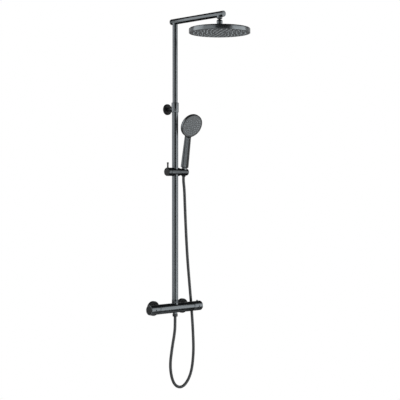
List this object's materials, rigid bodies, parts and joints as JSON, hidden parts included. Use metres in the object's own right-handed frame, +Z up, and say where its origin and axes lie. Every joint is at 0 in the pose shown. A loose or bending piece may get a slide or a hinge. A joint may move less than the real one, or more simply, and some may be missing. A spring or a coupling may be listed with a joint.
{
  "type": "rainfall shower column",
  "caption": "Wall-hung shower column: bar thermostat mixer, telescopic riser, swivelling arm with a round overhead shower, and a hand shower on a sliding holder with its hose.",
  "frame": {"origin": "on the wall plane, midway between the two water inlets, at the height of the mixer's axis", "axes": "+X to the right seen from the room, -Y out of the wall into the room, +Z up along the riser"},
  "size_m": [0.2628, 0.4165, 1.4178],
  "materials": {
    "black_metal": "satin black coating on brass tube and castings",
    "black_knobs": "satin black",
    "black_shell": "satin black",
    "grey_face": "dark grey, satin",
    "nozzle_rubber": "grey silicone, matt",
    "black_hose": "smooth satin black",
    "black_nuts": "satin black",
    "seal_rubber": "matt black",
    "bearing_plastic": "grey",
    "brass": "bare",
    "steel": "bare"
  },
  "bodies": {
    "column": {"left_wall_flange": "black_metal", "right_wall_flange": "black_metal", "wall_unions": "brass", "union_nuts": "black_metal", "inlet_washers": "seal_rubber", "check_valves": "bearing_plastic", "mixer_body": "black_metal", "diverter_cartridge": "bearing_plastic", "thermostat_cartridge": "bearing_plastic", "cartridge_rings": "brass", "riser_connector": "black_metal", "riser_seal": "seal_rubber", "lower_riser": "black_metal", "riser_guide_bush": "bearing_plastic", "bracket_collar": "black_metal", "bracket_stem": "black_metal", "bracket_base": "steel", "bracket_flange": "black_metal", "hose": "black_hose", "hose_nut": "black_nuts", "hose_washer": "seal_rubber"},
    "flow_control": {"flow_spindle": "brass", "flow_knob": "black_knobs", "flow_knob_cap": "black_knobs", "flow_grub_screw": "steel"},
    "temperature_control": {"temperature_spindle": "brass", "temperature_knob": "black_knobs", "temperature_knob_cap": "black_knobs", "temperature_grub_screw": "steel", "safety_spring": "steel"},
    "safety_stop": {"safety_button": "black_knobs"},
    "telescope": {"upper_riser": "black_metal", "riser_piston": "brass", "riser_o_rings": "seal_rubber", "arm_spigot": "black_metal", "arm_circlip": "steel", "arm_o_ring": "seal_rubber"},
    "overhead_arm": {"rain_arm": "black_metal", "arm_back_cap": "black_metal", "arm_front_cap": "black_metal", "ball_nipple": "black_metal"},
    "ball_ring": {"ball_seat_ring": "bearing_plastic"},
    "overhead_shower": {"ball_nut": "black_metal", "head_shell": "black_shell", "head_face": "grey_face", "head_nozzle_mat": "nozzle_rubber", "head_gasket": "seal_rubber"},
    "riser_shoe": {"slider_bush": "black_shell"},
    "slider": {"slider_body": "black_shell", "holder_pin": "steel"},
    "clamp": {"clamp_knob": "black_shell", "clamp_screw": "steel", "clamp_lever": "black_shell"},
    "holder": {"handset_holder": "black_shell"},
    "hose_end": {"hose_cone": "black_nuts", "handset_washer": "seal_rubber"},
    "handset": {"handset_shell": "black_shell", "handset_face": "grey_face", "handset_nozzle_mat": "nozzle_rubber", "handset_inlet": "brass"}
  },
  "joints": [
    {"name": "flow_turn", "type": "hinge", "parent": "column", "child": "flow_control", "pos_m": [0, -0.046, 0], "axis": [1, 0, 0], "range_deg": [-90, 90]},
    {"name": "temperature_turn", "type": "hinge", "parent": "column", "child": "temperature_control", "pos_m": [0, -0.046, 0], "axis": [1, 0, 0], "range_deg": [-180, 60]},
    {"name": "safety_press", "type": "slide", "parent": "temperature_control", "child": "safety_stop", "axis": [0, 0, -1], "range_m": [0, 0.0025], "stiffness_N_per_m": 700, "springref_m": -0.001, "deforming": ["safety_spring"]},
    {"name": "riser_slide", "type": "slide", "parent": "column", "child": "telescope", "axis": [0, 0, 1], "range_m": [-0.12, 0.1]},
    {"name": "arm_swivel", "type": "hinge", "parent": "telescope", "child": "overhead_arm", "pos_m": [0, -0.046, 1.0922], "axis": [0, 0, 1], "range_deg": [-60, 60]},
    {"name": "head_spin", "type": "hinge", "parent": "overhead_arm", "child": "ball_ring", "pos_m": [0, -0.286, 1.0642], "axis": [0, 0, 1], "continuous": true},
    {"name": "head_tilt", "type": "hinge", "parent": "ball_ring", "child": "overhead_shower", "pos_m": [0, -0.286, 1.0642], "axis": [1, 0, 0], "range_deg": [-12, 12]},
    {"name": "slider_slide", "type": "slide", "parent": "column", "child": "riser_shoe", "axis": [0, 0, 1], "range_m": [-0.38, 0.15], "deforming": ["hose"]},
    {"name": "slider_swivel", "type": "hinge", "parent": "riser_shoe", "child": "slider", "pos_m": [0, -0.046, 0.519], "axis": [0, 0, 1], "range_deg": [-45, 20], "deforming": ["hose"]},
    {"name": "clamp_turn", "type": "hinge", "parent": "slider", "child": "clamp", "pos_m": [0, -0.046, 0.519], "axis": [1, 0, 0], "range_deg": [0, 90]},
    {"name": "holder_tilt", "type": "hinge", "parent": "slider", "child": "holder", "pos_m": [0, -0.046, 0.519], "axis": [1, 0, 0], "range_deg": [-2, 35], "deforming": ["hose"]},
    {"name": "handset_lift", "type": "slide", "parent": "holder", "child": "hose_end", "axis": [0, -0.1599, 0.9871], "range_m": [0, 0.06], "deforming": ["hose"]},
    {"name": "handset_turn", "type": "hinge", "parent": "hose_end", "child": "handset", "pos_m": [0.0466, -0.046, 0.519], "axis": [0, -0.1599, 0.9871], "range_deg": [0, 90]}
  ]
}
